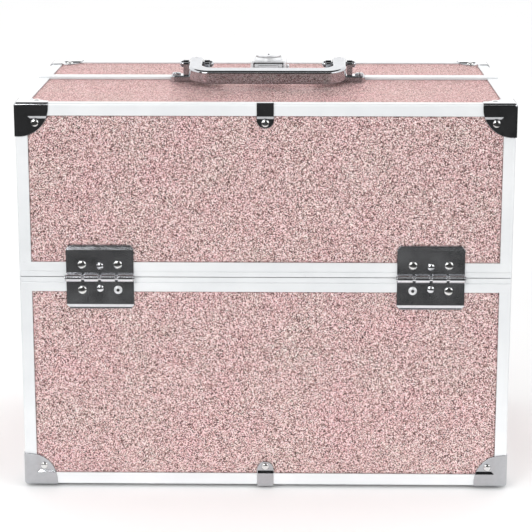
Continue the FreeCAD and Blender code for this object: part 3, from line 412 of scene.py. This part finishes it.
def dress_frame():
    """Dress the CAD nodes. A later line wins, so the bars' own rivets look like their bars."""
    dress(MATERIALS["strip"], *named("rails", "seam_strip"))
    dress(MATERIALS["post"], *named("posts"))
    dress(MATERIALS["glitter"], *named("panel"))
    dress(MATERIALS["chrome"], *named("caps", "clip", "handle", "lock"))
    dress(MATERIALS["casting"], "lock_housing", "lock_flap", "lock_cylinder")
    dress(MATERIALS["hinge"], *named("leaves", "hinge_pins", "rivets"))
    dress(MATERIALS["arm"], *named("bars", "studs", "slot_plates", "bar_rivets"))
    dress(MATERIALS["lining"], *named("lining", "floor_pad"))
    dress(MATERIALS["tray"], *named("_tray"))
    dress(MATERIALS["foot"], "feet")


# ---- pieces ----

def islands(node):
    """The separate solids of a CAD node, as (lowest corner, highest corner, points)."""
    form = bmesh.new()
    form.from_mesh(NODES[node].data)
    bmesh.ops.remove_doubles(form, verts=form.verts, dist=WELD)
    left = set(form.verts)
    found = []
    while left:
        waiting = [left.pop()]
        points = []
        while waiting:
            vertex = waiting.pop()
            points.append(vertex.co.copy())
            for link in vertex.link_edges:
                other = link.other_vert(vertex)
                if other in left:
                    left.remove(other)
                    waiting.append(other)
        low = Vector([min(point[i] for point in points) for i in range(3)])
        high = Vector([max(point[i] for point in points) for i in range(3)])
        found.append((low, high, points))
    form.free()
    return sorted(found, key=lambda item: tuple(round(value, SORT_PLACES) for value in (*item[0], *item[1])))


def mesh_object(name, form, materials):
    """An object in the scene from a finished form, which is freed."""
    mesh = bpy.data.meshes.new(name)
    form.to_mesh(mesh)
    form.free()
    for material in materials:
        mesh.materials.append(material)
    thing = bpy.data.objects.new(name, mesh)
    bpy.context.scene.collection.objects.link(thing)
    return thing


def piece(name, form, materials, body, replaced):
    """A piece on its body in place of a CAD node, smooth where its faces nearly meet in one line."""
    bmesh.ops.recalc_face_normals(form, faces=form.faces)
    thing = mesh_object(name, form, [MATERIALS[material] for material in materials])
    thing.data.shade_smooth()
    thing.data.set_sharp_from_angle(angle=math.radians(SHARP_ANGLE))
    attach(thing, body)
    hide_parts(replaced)
    return thing


def spaced(low, high, rows, pitch):
    """Grid lines from low to high: rows near both ends, and even steps of about one pitch between them."""
    inner = rows[-1]
    steps = max(1, round((high - low - 2 * inner) / pitch))
    middle = [low + inner + (high - low - 2 * inner) * i / steps for i in range(1, steps)]
    return [low + row for row in rows] + middle + [high - row for row in reversed(rows)]


def relief_slab(form, low, high, axis, sign, rows, pitch, relief, pull=0.0):
    """A closed slab with a flat back and a face that relief(u, v, edge) raises, thick along one axis.

    relief gives the share of the thickness at a point that is edge metres from the nearest side.
    """
    across, up = [i for i in range(3) if i != axis]
    lines_u = spaced(low[across], high[across], rows, pitch)
    lines_v = spaced(low[up], high[up], rows, pitch)
    last_u = len(lines_u) - 1
    last_v = len(lines_v) - 1
    back = low[axis] if sign > 0 else high[axis]
    thick = high[axis] - low[axis]
    centre = (low + high) / 2
    half = (high - low) / 2
    grid = []
    rear = {}
    for i, u in enumerate(lines_u):
        column = []
        for j, v in enumerate(lines_v):
            edge = min(u - low[across], high[across] - u, v - low[up], high[up] - v)
            share_u = (u - centre[across]) / half[across]
            share_v = (v - centre[up]) / half[up]
            point = Vector((0, 0, 0))
            point[across] = u - share_u * pull * (1 - share_v ** 2)
            point[up] = v - share_v * pull * (1 - share_u ** 2)
            point[axis] = back
            if i in (0, last_u) or j in (0, last_v):
                rear[i, j] = form.verts.new(point)
            point[axis] = back + sign * thick * relief(u, v, edge)
            column.append(form.verts.new(point))
        grid.append(column)
    for i in range(last_u):
        for j in range(last_v):
            form.faces.new((grid[i][j], grid[i + 1][j], grid[i + 1][j + 1], grid[i][j + 1]))
    loop = ([(i, 0) for i in range(last_u)] + [(last_u, j) for j in range(last_v)]
            + [(i, last_v) for i in range(last_u, 0, -1)] + [(0, j) for j in range(last_v, 0, -1)])
    for index, first in enumerate(loop):
        second = loop[(index + 1) % len(loop)]
        form.faces.new((grid[first[0]][first[1]], grid[second[0]][second[1]], rear[second], rear[first]))
    form.faces.new([rear[place] for place in loop])


def lining_relief(u, v, edge):
    """A rolled border, a stitched line along it and a slightly uneven field."""
    roll = SHEET_EDGE + SHEET_RISE * math.sqrt(min(1.0, edge / SHEET_ROLL))
    groove = STITCH_DEPTH * math.exp(-((edge - STITCH_LINE) / STITCH_WIDTH) ** 2)
    wave = SHEET_WAVE * noise.noise(Vector((u * SHEET_WAVES, v * SHEET_WAVES, SHEET_SEED)))
    return max(SHEET_LEAST, min(1.0, roll - groove + wave))


def lining(body):
    """Sheets for every lined wall of one body."""
    node = body + "_lining"
    form = bmesh.new()
    for low, high, _ in islands(node):
        size = high - low
        axis = min(range(3), key=lambda i: size[i])
        sign = 1 if (low[axis] + high[axis]) / 2 < CASE_MIDDLE[axis] else -1
        relief_slab(form, low, high, axis, sign, BORDER_ROWS, SHEET_PITCH, lining_relief)
    piece(node + "_sheets", form, ["lining"], body, node)


def quilt_relief(u, v, edge):
    """Diamond pillows between sewn channels, falling to a piped border."""
    first = abs(math.sin(math.pi * (u + v) / QUILT))
    second = abs(math.sin(math.pi * (u - v) / QUILT))
    pillow = PILLOW_FOOT + PILLOW_RISE * (first * second) ** PILLOW_ROUND
    roll = math.sin(min(1.0, edge / PAD_ROLL) * math.pi / 2)
    pipe = PIPE_DEPTH * math.exp(-((edge - PIPE_LINE) / PIPE_WIDTH) ** 2)
    return min(1.0, PAD_EDGE + (pillow - PAD_EDGE) * roll - pipe)


def floor_pad():
    """The quilted pad that covers the floor."""
    low, high = (Vector(corner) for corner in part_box("floor_pad"))
    form = bmesh.new()
    relief_slab(form, low, high, 2, 1, PAD_ROWS, PAD_PITCH, quilt_relief, PAD_PULL)
    pad = piece("quilted_floor_pad", form, ["lining"], "base", "floor_pad")


def turned(form, profile, place, axis, sign, slots=(0, 0)):
    """A profile of (radius, height) spun about an axis through place, with both ends closed.

    slots are the materials of the outside and of the inner bands with the end face.
    """
    frame_axes = Vector([sign if i == axis else 0 for i in range(3)]).to_track_quat("Z", "Y").to_matrix()
    outer_bands = len(profile) - 1 - INNER_BANDS
    rings = []
    for radius, height in profile:
        ring = []
        for step in range(TURNS):
            angle = 2 * math.pi * step / TURNS
            point = Vector((radius * math.cos(angle), radius * math.sin(angle), height))
            ring.append(form.verts.new(place + frame_axes @ point))
        rings.append(ring)
    for band, (ring, following) in enumerate(zip(rings, rings[1:])):
        slot = slots[0] if band < outer_bands else slots[1]
        for step in range(TURNS):
            after = (step + 1) % TURNS
            face = form.faces.new((ring[step], ring[after], following[after], following[step]))
            face.material_index = slot
    form.faces.new(rings[0]).material_index = slots[0]
    form.faces.new(rings[-1]).material_index = slots[1]


def dome_profile(radius, hollow):
    """A rivet head from its rim to its crown, or to the rolled mouth of a hollow one."""
    inner = HOLLOW_MOUTH if hollow else CROWN
    profile = [(radius, 0.0), (radius, RIM)]
    for step in range(1, DOME_STEPS + 1):
        across = radius + (inner - radius) * (step / DOME_STEPS)
        curve = math.sqrt(max(0.0, 1 - (across / radius) ** 2))
        profile.append((across, DOME * curve * DOME_SHARE + RIM))
    if hollow:
        profile += [(inner * LIP[0], DOME * LIP[1]), (inner * THROAT, THROAT_FLOOR)]
    return profile


def from_axis(point, centre, axis):
    """How far a point lies from the line along an axis through centre."""
    offset = point - centre
    offset[axis] = 0.0
    return offset.length


def rivets(body):
    """Round heads for every rivet of one body, and a plain shank with a collar for every slim solid."""
    node = body + "_rivets"
    form = bmesh.new()
    for low, high, points in islands(node):
        size = high - low
        centre = (low + high) / 2
        axis = min(range(3), key=lambda i: abs(size[(i + 1) % 3] - size[(i + 2) % 3]))
        sign = 1 if centre[axis] > CASE_MIDDLE[axis] else -1
        inner, outer = (low[axis], high[axis]) if sign > 0 else (high[axis], low[axis])
        radius = size[(axis + 1) % 3] / 2
        place = centre.copy()
        if radius < HEAD_LEAST:
            place[axis] = inner
            turned(form, [(radius, 0.0), (radius, size[axis])], place, axis, sign)
            turned(form, [(radius * share, height) for share, height in COLLAR], place, axis, sign)
            continue
        place[axis] = outer - sign * DOME
        hollow = min(from_axis(point, centre, axis) for point in points) > HOLLOW_LEAST
        # painted shade: inside a hollow head, the lip, the throat and the floor take the black rubber, so the
        # hole looks dark
        turned(form, dome_profile(radius, hollow), place, axis, sign, (2, 1) if hollow else (0, 0))
    piece(node.replace("rivets", "rivet_heads"), form, ["rivet", "foot", "casting"], body, node)


# ---- stage ----

def stage_floor():
    """A wide pale floor."""
    form = bmesh.new()
    bmesh.ops.create_circle(form, cap_ends=True, segments=RING_STEPS, radius=FLOOR_RADIUS)
    shader = Shader("floor_paper")
    shader.set(Base_Color=shader.between(shader.noise(scale=3.0), 0.925, 0.945), Roughness=0.8)
    staged("floor", form, shader.material)


def dim_ring(form):
    """A flat ring just above the floor."""
    rings = []
    for radius in DIM_FLOOR:
        angles = [2 * math.pi * i / RING_STEPS for i in range(RING_STEPS)]
        rings.append([form.verts.new((radius * math.cos(angle), radius * math.sin(angle), DIM_FLOOR_LIFT))
                      for angle in angles])
    for i in range(RING_STEPS):
        j = (i + 1) % RING_STEPS
        form.faces.new((rings[0][i], rings[1][i], rings[1][j], rings[0][j]))


def arc_wall(form, bottom, top, middle, spread):
    """A standing strip of wall about the stage, spread degrees wide with its middle at a compass angle."""
    columns = []
    for step in range(WALL_STEPS + 1):
        angle = math.radians(middle + spread * (step / WALL_STEPS - 0.5))
        side = (WALL_RADIUS * math.cos(angle), WALL_RADIUS * math.sin(angle))
        columns.append((form.verts.new((*side, bottom)), form.verts.new((*side, top))))
    for left, right in zip(columns, columns[1:]):
        form.faces.new((left[0], right[0], right[1], left[1]))


def dim_room():
    """A dim floor, ceiling and front wall for reflections only. The floor fades out close to the case."""
    form = bmesh.new()
    dim_ring(form)
    ceiling = Matrix.Translation((0, 0, CEILING_HEIGHT))
    bmesh.ops.create_circle(form, cap_ends=True, segments=RING_STEPS, radius=CEILING_RADIUS, matrix=ceiling)
    arc_wall(form, 0.0, DIM_WALL_TOP, FRONT, DIM_WALL_SPREAD)
    shader = Shader("dim_room")
    tone = shader.ramp(shader.noise(scale=5.0, detail=4.0, roughness=0.6), DIM_STOPS)
    shader.set(Base_Color=tone, Roughness=1.0, Specular_IOR_Level=0.0)
    length = shader.add("VectorMath", {"operation": "LENGTH"}, Vector=shader.place).outputs["Value"]
    share = shader.span(length, low=0.0, high=1.0, start=DIM_FLOOR[0], end=DIM_FADE_END)
    mixed = shader.add("MixShader", Fac=share)
    shader.plug(mixed, 1, shader.add("BsdfTransparent").outputs[0])
    shader.plug(mixed, 2, shader.surface.outputs[0])
    shader.plug(shader.tree.nodes["Material Output"], "Surface", mixed.outputs[0])
    only_reflected(staged("dim_room", form, shader.material))


def bright_wall():
    """Bright walls on the sides and at the rear, which only reflections see."""
    form = bmesh.new()
    arc_wall(form, WALL_BOTTOM, WALL_TOP, REAR, 360 - DIM_WALL_SPREAD)
    shader = Shader("bright_wall")
    glow = shader.between(shader.noise(scale=0.4), 0.94, 1.0)
    shader.set(Base_Color=BLACK, Roughness=1.0, Emission_Color=glow, Emission_Strength=WALL_GLOW)
    only_reflected(staged("bright_wall", form, shader.material))


def only_reflected(thing):
    """Hide a stage object from everything but glossy rays."""
    for flag in ("camera", "diffuse", "transmission", "volume_scatter", "shadow"):
        setattr(thing, "visible_" + flag, False)


def staged(name, form, material):
    """A stage object, which is no part of the case."""
    thing = mesh_object(name, form, [material])
    return thing


def area_light(name, place, size, energy):
    """A round soft light aimed at the middle of the case."""
    data = bpy.data.lights.new(name, "AREA")
    data.shape = "DISK"
    data.size = size
    data.energy = energy
    lamp = bpy.data.objects.new(name, data)
    lamp.location = place
    lamp.rotation_euler = (CASE_MIDDLE - Vector(place)).to_track_quat("-Z", "Y").to_euler()
    bpy.context.scene.collection.objects.link(lamp)


def light_stage():
    """A white world, with a key light from the front left and a weaker fill light from the front right."""
    world = bpy.data.worlds.new("studio")
    bpy.context.scene.world = world
    world.use_nodes = True
    back = world.node_tree.nodes["Background"]
    back.inputs["Color"].default_value = WHITE
    back.inputs["Strength"].default_value = WORLD_STRENGTH
    area_light("key", place=(-1.1, -2.3, 1.35), size=1.3, energy=24.0)
    area_light("fill", place=(1.7, -1.7, 1.1), size=1.2, energy=9.0)
    bpy.context.scene.view_settings.view_transform = "Standard"


def camera():
    data = bpy.data.cameras.new("camera")
    data.lens = CAMERA_LENS
    data.sensor_width = SENSOR
    data.clip_end = CAMERA_REACH
    eye = bpy.data.objects.new("camera", data)
    eye.location = CAMERA_PLACE
    eye.rotation_euler = (math.radians(90 - CAMERA_PITCH), 0, math.radians(CAMERA_TURN))
    bpy.context.scene.collection.objects.link(eye)
    bpy.context.scene.camera = eye


camera()
dress_frame()
for shell in SHELLS:
    lining(shell)
floor_pad()
for shell in SHELLS:
    rivets(shell)
stage_floor()
dim_room()
bright_wall()
light_stage()
